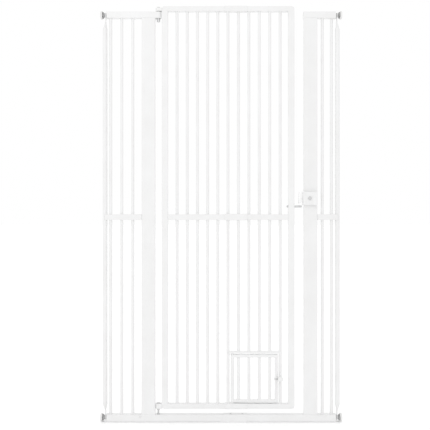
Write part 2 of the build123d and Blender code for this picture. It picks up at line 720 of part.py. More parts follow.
def latch():
    """The fork that drops over the striker rod, on a T-shaped rail that runs in the housing's slot."""
    nose_right = LOCK_LEFT - CLEARANCE
    nose_x = (LATCH_LEFT + nose_right) / 2
    head_left = LOCK_LEFT + SLOT_NECK + CLEARANCE
    with BuildPart() as fork:
        with Locations((nose_x, 0, (LATCH_LOW + LOCK_TOP) / 2)):
            Box(nose_right - LATCH_LEFT, LATCH_DEPTH, LOCK_TOP - LATCH_LOW)
        fillet(fork.faces().sort_by(Axis.X)[0].edges(), LATCH_EDGE_R)
        with Locations((nose_x, 0, LATCH_LOW)):
            Box(LOCK_LEFT - LATCH_LEFT, LATCH_MOUTH, 2 * (LATCH_MOUTH_TOP - LATCH_LOW), mode=Mode.SUBTRACT)
        with BuildSketch(Plane.XY.offset(LATCH_RAIL_LOW)):
            with Locations(((nose_right + head_left) / 2, 0)):
                Rectangle(head_left - nose_right, SLOT_NECK_WIDTH - 2 * CLEARANCE)
            with Locations((LOCK_LEFT + SLOT_NECK + SLOT_HEAD / 2, 0)):
                Rectangle(SLOT_HEAD - 2 * CLEARANCE, SLOT_HEAD_WIDTH - 2 * CLEARANCE)
        extrude(amount=LATCH_RAIL_TOP - LATCH_RAIL_LOW)
    save(fork, "latch_fork")


def flap():
    """The pet flap: a tubular frame with four bars, the studs it turns on and the catch beside its latch."""
    rail_gap = FLAP_LATCH_X - FLAP_HINGE_X
    rail_height = 2 * FLAP_TUBE_R
    rail_hollow = rail_height - 2 * FLAP_WALL
    with BuildPart() as frame:
        for z in (FLAP_LOW + FLAP_TUBE_R, FLAP_TOP - FLAP_TUBE_R):
            with BuildSketch(Plane.YZ.offset(FLAP_HINGE_X)):
                with Locations((0, z)):
                    RectangleRounded(rail_height, rail_height, CORNER)
                    RectangleRounded(rail_hollow, rail_hollow, FLAP_WALL, mode=Mode.SUBTRACT)
            extrude(amount=rail_gap)
        for x in (FLAP_HINGE_X, FLAP_LATCH_X):
            with Locations((x, 0, (FLAP_LOW + FLAP_TOP) / 2)):
                Cylinder(FLAP_TUBE_R + WELD_GAP, FLAP_TOP, mode=Mode.SUBTRACT)
        for x, end_wall in ((FLAP_HINGE_X, 0), (FLAP_LATCH_X, FLAP_WALL)):
            with BuildSketch(Plane.XY.offset(FLAP_LOW)):
                with Locations((x, 0)):
                    Circle(FLAP_TUBE_R)
            extrude(amount=FLAP_TOP - FLAP_LOW)
            with BuildSketch(Plane.XY.offset(FLAP_LOW + end_wall)):
                with Locations((x, 0)):
                    Circle(FLAP_TUBE_R - FLAP_WALL)
            extrude(amount=FLAP_TOP - FLAP_LOW - 2 * end_wall, mode=Mode.SUBTRACT)
        with BuildSketch(Plane.XY.offset(FLAP_LOW + rail_height + WELD_GAP)):
            for x in DOOR_BARS_RIGHT[1:-1]:
                with Locations((x, 0)):
                    Circle(FLAP_TUBE_R)
                    Circle(FLAP_TUBE_R - FLAP_WALL, mode=Mode.SUBTRACT)
        extrude(amount=FLAP_TOP - FLAP_LOW - 2 * (rail_height + WELD_GAP))
    save(frame, "flap_frame")

    with BuildPart() as pivots:
        sleeve_top = DOOR_BOTTOM + DOOR_RAIL_HEIGHT + SLEEVE_STEP
        for seat, face, end in (
            (sleeve_top, FLAP_LOW - CLEARANCE, FLAP_LOW + FLAP_STUD),
            (HEADER_LOW, FLAP_TOP + CLEARANCE, FLAP_TOP - FLAP_STUD),
        ):
            with BuildSketch(Plane.XY.offset(seat)):
                with Locations((FLAP_HINGE_X, 0)):
                    Circle(FLAP_TUBE_R)
            extrude(amount=face - seat)
            with BuildSketch(Plane.XY.offset(seat)):
                with Locations((FLAP_HINGE_X, 0)):
                    Circle(FLAP_TUBE_R - FLAP_WALL - RUNNING)
            extrude(amount=end - seat)
    save(pivots, "flap_pivots")

    with BuildPart() as catch:
        with BuildSketch(Plane.XY.offset(CATCH_LOW)):
            with Locations((FLAP_LATCH_X, 0)):
                Circle(FLAP_TUBE_R + CATCH_WALL)
            with Locations(((FLAP_LATCH_X + CATCH_TIP_X) / 2, 0)):
                Rectangle(CATCH_TIP_X - FLAP_LATCH_X, CATCH_TIP_DEPTH)
            with Locations((FLAP_LATCH_X, 0)):
                Circle(FLAP_TUBE_R + WELD_GAP, mode=Mode.SUBTRACT)
        extrude(amount=CATCH_HEIGHT)
        fillet(catch.edges().filter_by(Axis.Z).sort_by(Axis.X)[-2:], CATCH_TIP_DEPTH / 4)
    save(catch, "flap_catch")


def flap_latch():
    """The knob on the bar beside the flap, and the two fingers that turn with it, in front and behind."""
    bar_x = DOOR_BARS_RIGHT[-1]
    finger_start = FLAP_TUBE_R + CATCH_WALL + CLEARANCE
    finger_end = finger_start + FINGER_THICKNESS
    with BuildPart() as bar:
        with BuildSketch(Plane.XY.offset(DOOR_BOTTOM + DOOR_RAIL_HEIGHT)):
            with Locations((bar_x, 0)):
                Circle(BAR_R)
                Circle(BAR_R - BAR_WALL, mode=Mode.SUBTRACT)
        extrude(amount=MID_RAIL_LOW - DOOR_BOTTOM - DOOR_RAIL_HEIGHT)
        with Locations(Plane.XZ.offset(BAR_R)):
            with Locations((bar_x, KNOB_Z)):
                Hole(KNOB_SHAFT_R + RUNNING, depth=2 * BAR_R)
    save(bar, "flap_latch_bar")

    with BuildPart() as knob:
        with BuildSketch(Plane.XZ.offset(finger_end)):
            with Locations((bar_x, KNOB_Z)):
                Circle(KNOB_R)
        extrude(amount=KNOB_LENGTH)
        fillet(knob.edges().sort_by(Axis.Y)[0], KNOB_EDGE_R)
        with BuildSketch(Plane.XZ.offset(finger_end)):
            with Locations((bar_x, KNOB_Z)):
                Circle(KNOB_SHAFT_R)
        extrude(amount=-2 * finger_end - KNOB_SHAFT_TAIL)
    save(knob, "flap_knob")

    with BuildPart() as fingers:
        for start in (finger_start, -finger_end):
            with BuildSketch(Plane.XZ.offset(start)):
                with Locations((bar_x, KNOB_Z)):
                    Circle(FINGER_EYE_R)
                with Locations((bar_x, KNOB_Z + FINGER_LENGTH / 2)):
                    Rectangle(FINGER_WIDTH, FINGER_LENGTH)
                with Locations((bar_x, KNOB_Z + FINGER_LENGTH)):
                    Circle(FINGER_WIDTH / 2)
                with Locations((bar_x, KNOB_Z)):
                    Circle(KNOB_SHAFT_R + WELD_GAP, mode=Mode.SUBTRACT)
            extrude(amount=FINGER_THICKNESS)
    save(fingers, "flap_fingers")


def flap_header():
    """The short cross tube over the flap's opening, between the bars on either side."""
    with BuildPart() as header:
        with BuildSketch(Plane.YZ.offset(DOOR_BARS_RIGHT[0])):
            with Locations((0, HEADER_LOW + HEADER_HEIGHT / 2)):
                RectangleRounded(HEADER_DEPTH, HEADER_HEIGHT, CORNER)
                RectangleRounded(
                    HEADER_DEPTH - 2 * WALL, HEADER_HEIGHT - 2 * WALL, INNER_CORNER, mode=Mode.SUBTRACT
                )
        extrude(amount=DOOR_BARS_RIGHT[-1] - DOOR_BARS_RIGHT[0])
        for x in (DOOR_BARS_RIGHT[0], DOOR_BARS_RIGHT[-1]):
            with Locations((x, 0, HEADER_LOW)):
                Cylinder(BAR_R + WELD_GAP, 4 * HEADER_HEIGHT, mode=Mode.SUBTRACT)
        inner = header.solids().sort_by(SortBy.VOLUME)[-1]
    with BuildPart() as kept:
        add(inner)
    save(kept, "flap_header")


def floor_rail_bolt():
    """The button-head bolt on the floor rail's front face, beside the left post."""
    with BuildPart() as bolt:
        with BuildSketch(Plane.XZ.offset(FLOOR_RAIL_DEPTH / 2)):
            with Locations((FLOOR_BOLT_X, FLOOR_BOLT_Z)):
                Circle(FLOOR_BOLT_R)
        extrude(amount=FLOOR_BOLT_HEAD)
        fillet(bolt.edges().sort_by(Axis.Y)[0], FLOOR_BOLT_EDGE_R)
    save(bolt, "floor_rail_bolt")


def all_bars():
    """The ends of every bar: those that meet a sleeve are shorter by the sleeve's step."""
    side_top = SIDE_RAIL_TOP - SIDE_RAIL_HEIGHT
    mid_top = MID_RAIL_LOW + MID_RAIL_HEIGHT
    door_top = DOOR_TOP - DOOR_RAIL_HEIGHT
    door_low = DOOR_BOTTOM + DOOR_RAIL_HEIGHT
    side_spans = ((FLOOR_RAIL_TOP, MID_RAIL_LOW), (mid_top, side_top))
    bars("left_panel_bars", [(x, low, high) for x in LEFT_PANEL_BARS for low, high in side_spans])
    bars("right_panel_bars", [(x, low, high) for x in RIGHT_PANEL_BARS for low, high in side_spans])
    door_spans = ((door_low, MID_RAIL_LOW), (mid_top, door_top))
    bars("door_bars_left", [(x, low, high) for x in DOOR_BARS_LEFT for low, high in door_spans])
    spans = []
    for x in DOOR_BARS_RIGHT:
        step = SLEEVE_STEP if x < SLEEVE_END else 0
        spans.append((x, mid_top + step, door_top - step))
        if x < DOOR_BARS_RIGHT[-1]:
            foot = HEADER_LOW + HEADER_HEIGHT if x > DOOR_BARS_RIGHT[0] else door_low + step
            spans.append((x, foot, MID_RAIL_LOW - step))
    bars("door_bars_right", spans)


def main():
    side_low = SIDE_RAIL_TOP - SIDE_RAIL_HEIGHT
    floor_height = FLOOR_RAIL_TOP - FLOOR_RAIL_LOW
    post_left_edge = LEFT_POST_X - POST_WIDTH / 2
    post_right_edge = RIGHT_POST_X + POST_WIDTH / 2
    door_inner_left = DOOR_LEFT + STILE_WIDTH
    door_inner_right = DOOR_RIGHT - STILE_WIDTH
    lock_holes = [(LOCK_SCREW_X, z) for z in LOCK_SCREW_HEIGHTS]

    left_top_rail()
    top_start = POST_FACE - TOP_RAIL_PROUD
    right_plate = RAIL_END - WALL
    rail(
        "right_top_rail",
        top_start,
        RAIL_END,
        side_low,
        SIDE_RAIL_HEIGHT,
        plates=(top_start, right_plate),
        collar_bore=(right_plate, TOP_SPINDLE_Z),
    )
    mid = (MID_RAIL_LOW, MID_RAIL_HEIGHT)
    floor = (FLOOR_RAIL_LOW, floor_height, FLOOR_RAIL_DEPTH)
    rail("left_mid_rail", -OUTER_STILE_X, post_left_edge, *mid, saddle_x=-OUTER_STILE_X)
    rail("right_mid_rail", post_right_edge, OUTER_STILE_X, *mid, saddle_x=OUTER_STILE_X)
    rail(
        "left_floor_rail",
        -RAIL_END,
        LEFT_TUBE_END,
        *floor,
        plates=(-RAIL_END,),
        pin_holes=(HINGE_X,),
        collar_bore=(-RAIL_END, FLOOR_SPINDLE_Z),
    )
    rail(
        "right_floor_rail",
        RIGHT_TUBE_START,
        RAIL_END,
        *floor,
        plates=(right_plate,),
        collar_bore=(right_plate, FLOOR_SPINDLE_Z),
    )
    rail("door_mid_rail_left", door_inner_left, LEFT_TUBE_END, *mid)
    rail("door_mid_rail_right", RIGHT_TUBE_START, door_inner_right, *mid)
    post("left_post", LEFT_POST_X)
    post("right_post", RIGHT_POST_X, lock_holes)
    all_bars()

    door_frame()
    hinge_arms()
    hinge_bushes()
    door_pivots()
    floor_rail_bolt()

    door_sleeve_rails = (
        (DOOR_TOP - DOOR_RAIL_HEIGHT, DOOR_RAIL_HEIGHT, DEPTH),
        (*mid, DEPTH),
        (DOOR_BOTTOM, DOOR_RAIL_HEIGHT, DEPTH),
    )
    floor_sleeve_rails = (floor,)
    sleeves("door_sleeves", SLEEVE_START, door_sleeve_rails)
    sleeves("floor_sleeve", FLOOR_SLEEVE_START, floor_sleeve_rails)
    sleeve_screws("door_sleeve_screws", door_sleeve_rails)
    sleeve_screws("floor_sleeve_screws", floor_sleeve_rails)

    striker()
    lock()
    latch()
    flap_header()
    flap()
    flap_latch()

    for side_name, side in (("left", -1), ("right", 1)):
        outer_stile(f"{side_name}_outer_stile", side)
        collars(f"{side_name}_collars", side)
        for level, z in (("top", TOP_SPINDLE_Z), ("bottom", FLOOR_SPINDLE_Z)):
            spindle(f"spindle_{level}_{side_name}", side, z)
            hand_nut(f"hand_nut_{level}_{side_name}", side, z)
            wall_pad(f"wall_pad_{level}_{side_name}", side, z)


main()
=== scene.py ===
import json
import math

import bmesh
import bpy
from mathutils import Matrix, Vector


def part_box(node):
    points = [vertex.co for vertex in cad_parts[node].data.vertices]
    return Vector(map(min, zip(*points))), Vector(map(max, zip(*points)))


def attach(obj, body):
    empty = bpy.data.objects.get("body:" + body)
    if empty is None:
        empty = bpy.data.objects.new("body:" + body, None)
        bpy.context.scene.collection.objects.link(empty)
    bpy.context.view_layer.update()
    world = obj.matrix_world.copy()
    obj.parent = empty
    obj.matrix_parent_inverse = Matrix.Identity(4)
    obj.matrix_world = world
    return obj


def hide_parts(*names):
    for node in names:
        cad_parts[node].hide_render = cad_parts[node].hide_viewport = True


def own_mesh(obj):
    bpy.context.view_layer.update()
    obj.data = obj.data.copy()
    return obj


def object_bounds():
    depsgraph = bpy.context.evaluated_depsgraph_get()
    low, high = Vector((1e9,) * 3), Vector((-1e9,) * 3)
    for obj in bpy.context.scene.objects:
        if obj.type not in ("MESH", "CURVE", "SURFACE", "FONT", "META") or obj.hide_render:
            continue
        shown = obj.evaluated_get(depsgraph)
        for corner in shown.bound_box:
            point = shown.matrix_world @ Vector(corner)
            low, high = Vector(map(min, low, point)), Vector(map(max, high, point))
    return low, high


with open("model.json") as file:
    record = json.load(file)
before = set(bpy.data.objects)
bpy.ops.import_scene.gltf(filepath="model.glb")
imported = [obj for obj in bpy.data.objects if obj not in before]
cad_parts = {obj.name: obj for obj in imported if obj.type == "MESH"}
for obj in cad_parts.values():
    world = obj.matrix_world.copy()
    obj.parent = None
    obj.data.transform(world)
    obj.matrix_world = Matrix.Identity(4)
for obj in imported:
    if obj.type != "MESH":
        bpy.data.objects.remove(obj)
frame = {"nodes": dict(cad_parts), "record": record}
cad_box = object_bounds()

# An extra-tall pressure-fitted pet gate in white powder coat, in the CAD model's frame: +X across the
# doorway, +Y through it away from the lock button, +Z up. The tubes, bars, sleeves, catch, latch fork and
# lock case are the CAD model's own. This script adds the welds and replaces the small turned and moulded
# parts. Lengths are in metres unless a comment says millimetres, and MM turns millimetres into metres.

MM = 0.001
TURN = 2 * math.pi
X_AXIS = Vector((1, 0, 0))
Y_AXIS = Vector((0, 1, 0))
Z_AXIS = Vector((0, 0, 1))
SIDES = (("left", -1), ("right", 1))
EVEN = (1, 1, 1)

# Meshes: points nearer than MERGE become one, edges shorter than SLIVER go, and an edge sharper than CREASE
# degrees stays sharp. CAD points that round to the same multiple of SAME_PLACE belong to one solid.
MERGE = 0.002 * MM
SLIVER = 0.001 * MM
CREASE = 32.0
SAME_PLACE = 0.01 * MM

# A colour Mix node's sockets: its factor, the two colours, and the result
MIX_FACTOR = 0
MIX_UNDER = 6
MIX_OVER = 7
MIX_RESULT = 2

# Steps round a turned part
ROUND_STEPS = 48
SMOOTH_STEPS = 64
HEX_STEPS = 72
NUT_STEPS = 96
KNOB_STEPS = 112

# Camera: level and square to the gate, a little left of its middle
CAMERA_X = -0.027
CAMERA_Z = 0.896
CAMERA_DISTANCE = 3.0
VIEW_WIDTH = 1.86
SENSOR_WIDTH = 36.0

# Studio
WORLD_STRENGTH = 1.0
KEY_PLACE = Vector((-1.8, -3.6, 3.2))
KEY_SIZE = 2.4
KEY_POWER = 17.0
FLOOR_HALF = 60.0
FLOOR_DROP = 0.5 * MM
FLOOR_GLOW = 0.14
WHITE = (1, 1, 1, 1)

# Welds
BAR_WELD = 1.3 * MM
RAIL_WELD = 1.8 * MM
SEAM_HALF = 1.0 * MM
SEAM_HEIGHT = 0.12 * MM
WELD_SINK = 0.15 * MM
WELD_STEP = 0.8 * MM
WELD_BULGE = 0.86
CROWN_ANGLES = (TURN / 12, TURN / 6)
RIPPLE = 0.1
RIPPLE_STEPS = 3.3
TUBE_CORNER = 2.0 * MM
TUBE_CORNER_STEPS = 4
# How far a rounded corner's middle lies inside the sharp corner, as a share of its radius
CORNER_CUT = math.sqrt(2) - 1
DOOR_CORNER = 12.0 * MM
FLAP_WELD_REACH = math.radians(50)

# Thread of the wall spindles: pitch, depth, and where along each pitch it is on the crest (0) or the root (1)
PITCH = 1.5 * MM
THREAD_DEPTH = 0.85 * MM
THREAD_SHAPE = ((0.0, 0), (0.12, 0), (0.5, 1), (0.62, 1))
THREAD_COLUMNS = 24

# Outlines of the turned and moulded parts, as (radius, height) in millimetres from each part's base
HAND_NUT = [
    (5.05, 0.4), (5.45, 0), (7.4, 0), (8, 0.5), (8.4, 1.8), (9.6, 3.9), (11.6, 5.5), (13.2, 6.1),
    (13.78, 6.7), (13.78, 9.2), (13.2, 9.8), (11.6, 9.8), (11, 9.3), (7.6, 9.3), (7.2, 9.7), (5.45, 9.7),
    (5.05, 9.3),
]
NUT_HUB_R = 8.0
NUT_R = 13.78
NUT_NOTCHES = 8
NUT_NOTCH_DEPTH = 1.5
NUT_NOTCH_POWER = 8
WALL_PAD = [
    (0, 4.05), (5.05, 4.05), (5.05, 0.4), (5.45, 0), (8.6, 0), (9, 0.4), (9, 2.2), (9.6, 2.8), (14.6, 2.8),
    (15.2, 2.2), (15.2, 0.6), (15.8, 0), (16.9, 0), (17.5, 0.6), (17.5, 7.2), (16.7, 8), (14.4, 8),
    (13.9, 7.2), (13.1, 7.2), (12.6, 8), (10.6, 8), (10.1, 7.2), (9.3, 7.2), (8.8, 8), (6.8, 8), (6.3, 7.2),
    (5.5, 7.2), (5, 8), (0, 8),
]
PAD_RIBS = 8
PAD_RIB_SPAN = (8.9, 15.3)
PAD_RIB_HEIGHTS = (0.7, 3.0)
PAD_RIB_WIDTH = 1.6
COLLAR = [
    (5.05, 0.3), (5.35, 0), (7.1, 0), (7.5, 0.4), (7.5, 16), (8.6, 16), (9, 16.4), (9, 18.9), (8.4, 19.5),
    (5.6, 19.5), (5.05, 19),
]
BUTTON = [
    (0, 0), (8.8, 0), (9.2, 0.3), (9.2, 1.4), (8.9, 1.7), (7.2, 1.7), (7.2, 7), (6.9, 7.65), (6.2, 8),
    (5.5, 7.9), (4.2, 7.5), (2, 7.25), (0, 7.2),
]
BEZEL = [(7.6, -0.3), (7.6, 0.9), (8.1, 1.3), (9.5, 1.3), (10.2, 0.9), (10.7, 0), (10.7, -0.3)]
KNOB = [
    (0, 0), (2.6, 0), (3, 0.4), (3, 23), (11.1, 23), (11.7, 23.3), (12, 24), (12, 29.8), (11.6, 31.2),
    (10.8, 32), (9.7, 32), (9.1, 31.5), (8.6, 30.8), (5, 30.5), (0, 30.4),
]
KNOB_GRIP_R = 11.5
KNOB_GRIPS = 28
KNOB_GRIP_DEPTH = 0.35
TOP_BUSH = [(3.55, 0), (7.6, 0), (8, 0.4), (8, 1.5), (7.6, 1.9), (6, 1.9), (6, 16.4), (3.55, 16.4)]
LOWER_BUSH = [
    (3.55, 0), (7.5, 0), (8, 0.5), (8, 4.1), (7.6, 4.5), (6, 4.5), (6, 26), (8.1, 26), (8.5, 26.4),
    (8.5, 27.8), (7.4, 28.8), (6.4, 29), (0, 29), (0, 23.8), (3.55, 23.8),
]
FLOOR_BOLT = [(0, 0), (5, 0), (5, 0.5), (4.7, 1.4), (3.9, 2.3), (2.9, 2.8)]
FLOOR_BOLT_HEIGHT = 2.8

# Ends of parts whose length is the CAD model's, in the same way. A top is measured down from the part's end,
# so its heights are 0 or less.
HINGE_BOLT_FOOT = [(0, 0), (2.9, 0), (3.5, 0.6)]
HINGE_BOLT_TOP = [(3.5, -4.6), (7.6, -4.6), (8, -4.2), (8, -3.3), (7.4, -1.6), (6, -0.4), (4.6, 0)]
HINGE_NUT_FOOT = [(3.55, 0.5), (4.1, 0), (5.7, 0)]
HINGE_NUT_TOP = [(8.1, -4), (8.5, -3.6), (8.5, -0.4), (8.2, 0), (3.55, 0)]
HINGE_NUT_FLANGE = 4.0
HINGE_NUT_RISE = 0.1
HINGE_PIN_FOOT = [(0, 0), (3.5, 0), (3.5, 10)]
HINGE_PIN_SEAT = [(5.4, 13), (3.5, 13)]
HINGE_PIN_TOP = [(3.5, -1), (2.7, -0.2), (1.8, 0), (0, 0)]
HINGE_PIN_HEX_HEIGHTS = (10, 13)
STRIKER_NUT_FOOT = [(3.05, 0.4), (3.45, 0), (5.1, 0)]
STRIKER_NUT_TOP = [(5.1, 0), (3.05, 0)]
SCREW_FOOT = [(0, 0), (1.6, 0), (2, 0.4)]
SCREW_TOP = [(2, -2.4), (4.3, -2.4), (4.5, -2.1), (4.4, -1.4), (3.8, -0.5), (3, -0.1)]

# Hexagons, as the radius to a corner in millimetres. A socket also has a depth and the drop of its floor.
HINGE_NUT_HEX = 6.8
HINGE_PIN_HEX = 6.5
STRIKER_NUT_HEX = 6.0
HINGE_BOLT_SOCKET = (3.5, 2.8, 0.2)
FLOOR_BOLT_SOCKET = (2.0, 1.5, 0.1)
HEX_SLOPE = math.tan(math.radians(30))
HEX_FLAT = math.cos(math.radians(30))

# Cross recess of the screws, in millimetres. It narrows to CROSS_TAPER of its size at CROSS_DEPTH.
CROSS_LENGTH = 2.3
CROSS_HALF = 0.5
CROSS_TAPER = 0.75
CROSS_DEPTH = 1.4
CROSS_TIP_DEPTH = 1.7

# The door's sleeves: at what share of their height the uppermost starts, and the lowest ends
TOP_SLEEVE_SHARE = 0.9
LOWEST_SLEEVE_SHARE = 0.1

# Latch fingers, in millimetres: FINGER_LENGTH is from the eye's middle to the tip's
FINGER_EYE_R = 7.0
FINGER_TIP_R = 4.5
FINGER_LENGTH = 24.0
FINGER_THICKNESS = 2.5
FINGER_EDGE = 0.5
FINGER_STEPS = 14

# Button spring
SPRING_TURNS = 5
SPRING_WIRE_R = 0.5 * MM
SPRING_STEPS = 32
WIRE_SIDES = 8


class Finish:
    """One procedural material: a Principled shader whose colour, roughness and relief come from nodes."""

    def __init__(self, name):
        self.material = bpy.data.materials.new(name)
        self.material.use_nodes = True
        self.tree = self.material.node_tree
        self.shader = self.tree.nodes["Principled BSDF"]
        self.coords = self.node("ShaderNodeTexCoord").outputs["Object"]

    def node(self, kind, settings=None, **inputs):
        """A new node. settings are its properties, and inputs are its sockets, with _ for a space."""
        made = self.tree.nodes.new(kind)
        for key, value in (settings or {}).items():
            setattr(made, key, value)
        for key, value in inputs.items():
            self.feed(made.inputs[key.replace("_", " ")], value)
        return made

    def feed(self, socket, value):
        """Links a socket to another, or sets it."""
        if isinstance(value, bpy.types.NodeSocket):
            self.tree.links.new(value, socket)
        else:
            socket.default_value = value

    def place(self, stretch):
        """The object's own coordinates. A smaller stretch along an axis draws the pattern out along it."""
        return self.node("ShaderNodeMapping", Vector=self.coords, Scale=stretch).outputs["Vector"]

    def noise(self, scale, detail=3.0, stretch=EVEN):
        """Soft noise, from 0 to 1 with most of it near the middle."""
        made = self.node("ShaderNodeTexNoise", Vector=self.place(stretch), Scale=scale, Detail=detail)
        return made.outputs["Fac"]

    def cells(self, scale, output="Distance"):
        """Irregular cells, as the distance to each one's middle or as one colour for each."""
        return self.node("ShaderNodeTexVoronoi", Vector=self.place(EVEN), Scale=scale).outputs[output]

    def between(self, factor, low, high, start=0.3, end=0.7):
        """A value that goes from low to high as factor goes from start to end."""
        limits = {"From_Min": start, "From_Max": end, "To_Min": low, "To_Max": high}
        return self.node("ShaderNodeMapRange", Value=factor, **limits).outputs["Result"]

    def patches(self, scale, detail, start, end, most, stretch=EVEN):
        """Scattered patches: 0 outside them, and most in their middles."""
        return self.between(self.noise(scale, detail, stretch), 0.0, most, start, end)

    def ramp(self, factor, low, high, start=0.3, end=0.7):
        """A colour that goes from low to high as factor goes from start to end."""
        made = self.node("ShaderNodeValToRGB", Fac=factor)
        first, last = made.color_ramp.elements
        first.position, first.color = start, (*low, 1)
        last.position, last.color = end, (*high, 1)
        return made.outputs["Color"]

    def mix(self, factor, under, over):
        """The colour over laid on the colour under, as strongly as factor says."""
        made = self.node("ShaderNodeMix", {"data_type": "RGBA"})
        self.feed(made.inputs[MIX_FACTOR], factor)
        self.feed(made.inputs[MIX_UNDER], under)
        self.feed(made.inputs[MIX_OVER], (*over, 1))
        return made.outputs[MIX_RESULT]

    def relief(self, height, depth, under=None):
        """Relief of that depth in metres, laid over another relief."""
        made = self.node("ShaderNodeBump", Height=height, Distance=depth)
        if under is not None:
            self.feed(made.inputs["Normal"], under)
        return made.outputs["Normal"]

    def done(self, colour, roughness, normal, **constants):
        """Joins the patterns to the shader, sets its constants, and gives the finished material."""
        self.feed(self.shader.inputs["Base Color"], colour)
        self.feed(self.shader.inputs["Roughness"], roughness)
        self.feed(self.shader.inputs["Normal"], normal)
        for key, value in constants.items():
            self.shader.inputs[key.replace("_", " ")].default_value = value
        return self.material


def grey(value, warmth=0.0):
    """A grey, a little redder where warmth is above 0 and a little bluer where it is below."""
    return (value + warmth, value, value - warmth)


PAINT_DEEP = grey(0.797, 0.002)
PAINT_PALE = grey(0.832, -0.001)
PAINT_SPECK = grey(0.68, 0.004)
PAINT_RUB = grey(0.64, 0.006)
ZINC_DEEP = grey(0.6, -0.004)
ZINC_PALE = grey(0.68, -0.002)
ZINC_RUB = grey(0.78)
RUBBER_DEEP = grey(0.74, 0.004)
RUBBER_PALE = grey(0.8, 0.004)
FLOOR_DEEP = grey(0.9)
FLOOR_PALE = grey(0.92)


def white_paint():
    """Satin powder coat on steel: orange peel, slow mottling, fine specks and a few faint rubs."""
    coat = Finish("white_powder_coat")
    cloud = coat.ramp(coat.noise(scale=9.0), low=PAINT_DEEP, high=PAINT_PALE)
    specks = coat.patches(scale=900.0, detail=1.0, start=0.62, end=0.78, most=0.22)
    colour = coat.mix(specks, cloud, PAINT_SPECK)
    rubs = coat.patches(scale=60.0, detail=4.0, start=0.64, end=0.8, most=0.16, stretch=(3, 3, 0.25))
    colour = coat.mix(rubs, colour, PAINT_RUB)
    satin = coat.between(coat.noise(scale=45.0, detail=2.0), low=0.3, high=0.42)
    waves = coat.relief(coat.noise(scale=160.0, detail=2.0), depth=0.05 * MM)
    peel = coat.relief(coat.noise(scale=700.0, detail=1.0), depth=0.03 * MM, under=waves)
    return coat.done(colour, satin, peel, Specular_IOR_Level=0.5, Coat_Weight=0.15, Coat_Roughness=0.22)


def moulded(name, darkest, lightest, rough, spread=0.07):
    """Injection-moulded plastic: a fine spark-eroded grain, slow flow marks and a little sheen."""
    plastic = Finish(name)
    low, high = grey(darkest), grey(lightest)
    flow = plastic.ramp(plastic.noise(scale=70.0, detail=2.0, stretch=(1, 1, 0.35)), low, high)
    dust = plastic.patches(scale=1500.0, detail=1.0, start=0.55, end=0.9, most=0.3)
    colour = plastic.mix(dust, flow, high)
    satin = plastic.between(plastic.noise(scale=260.0, detail=2.0), low=rough - spread, high=rough + spread)
    grain = plastic.relief(plastic.noise(scale=1700.0, detail=2.0), depth=0.015 * MM)
    waves = plastic.relief(plastic.noise(scale=200.0, detail=2.0), depth=0.03 * MM, under=grain)
    return plastic.done(colour, satin, waves, Specular_IOR_Level=0.5)


def zinc_steel():
    """Dull zinc plate: crystals of slightly different grey, fine turning marks and a few brighter rubs."""
    zinc = Finish("zinc_plated_steel")
    crystals = zinc.node("ShaderNodeSeparateColor", Color=zinc.cells(scale=900.0, output="Color")).outputs[0]
    plate = zinc.ramp(crystals, low=ZINC_DEEP, high=ZINC_PALE, start=0.0, end=1.0)
    rubs = zinc.patches(scale=900.0, detail=3.0, start=0.58, end=0.75, most=0.5, stretch=(0.2, 1, 1))
    colour = zinc.mix(rubs, plate, ZINC_RUB)
    dull = zinc.between(zinc.noise(scale=300.0), low=0.3, high=0.46)
    marks = zinc.relief(zinc.noise(scale=2600.0, detail=2.0, stretch=(1, 0.15, 0.15)), depth=0.01 * MM)
    return zinc.done(colour, dull, marks, Metallic=1.0)


def pale_rubber():
    """Matt moulded rubber: a close stipple, cloudy bloom and hardly any shine."""
    rubber = Finish("pale_rubber")
    bloom = rubber.ramp(rubber.noise(scale=110.0, detail=4.0), low=RUBBER_DEEP, high=RUBBER_PALE)
    stipple = rubber.relief(rubber.cells(scale=1300.0), depth=0.04 * MM)
    dull = rubber.between(rubber.noise(scale=200.0), low=0.62, high=0.8)
    return rubber.done(bloom, dull, stipple, Specular_IOR_Level=0.35)


FINISHES = {
    "white_paint": white_paint(),
    "grey_nylon": moulded("grey_nylon", darkest=0.35, lightest=0.42, rough=0.5),
    "zinc_steel": zinc_steel(),
    "white_plastic": moulded("white_plastic", darkest=0.8, lightest=0.84, rough=0.32),
    "grey_plastic": moulded("grey_plastic", darkest=0.6, lightest=0.66, rough=0.42),
    # Painted light: a paler copy of the white plastic for the latch fork, whose extra brightness stands in
    # for light where the lock case shades it
    "bright_plastic": moulded("bright_plastic", darkest=0.92, lightest=0.95, rough=0.3),
    "pad_rubber": pale_rubber(),
}


def finish_cad_nodes():
    """Gives each CAD node the finish of its slot in the record."""
    slots = {part["node"]: part["material_slot"] for part in frame["record"]["subparts"]}
    for name, node in frame["nodes"].items():
        for material_slot in node.material_slots:
            material_slot.link = "OBJECT"
            material_slot.material = FINISHES[slots[name]]


def slot_of(node):
    """The material slot that the record gives a CAD node."""
    return next(part["material_slot"] for part in frame["record"]["subparts"] if part["node"] == node)


def body_of(node):
    """The body that a CAD node moves with."""
    bodies = frame["record"]["behaviour"]["bodies"]
    return next(body for body, nodes in bodies.items() if node in nodes)


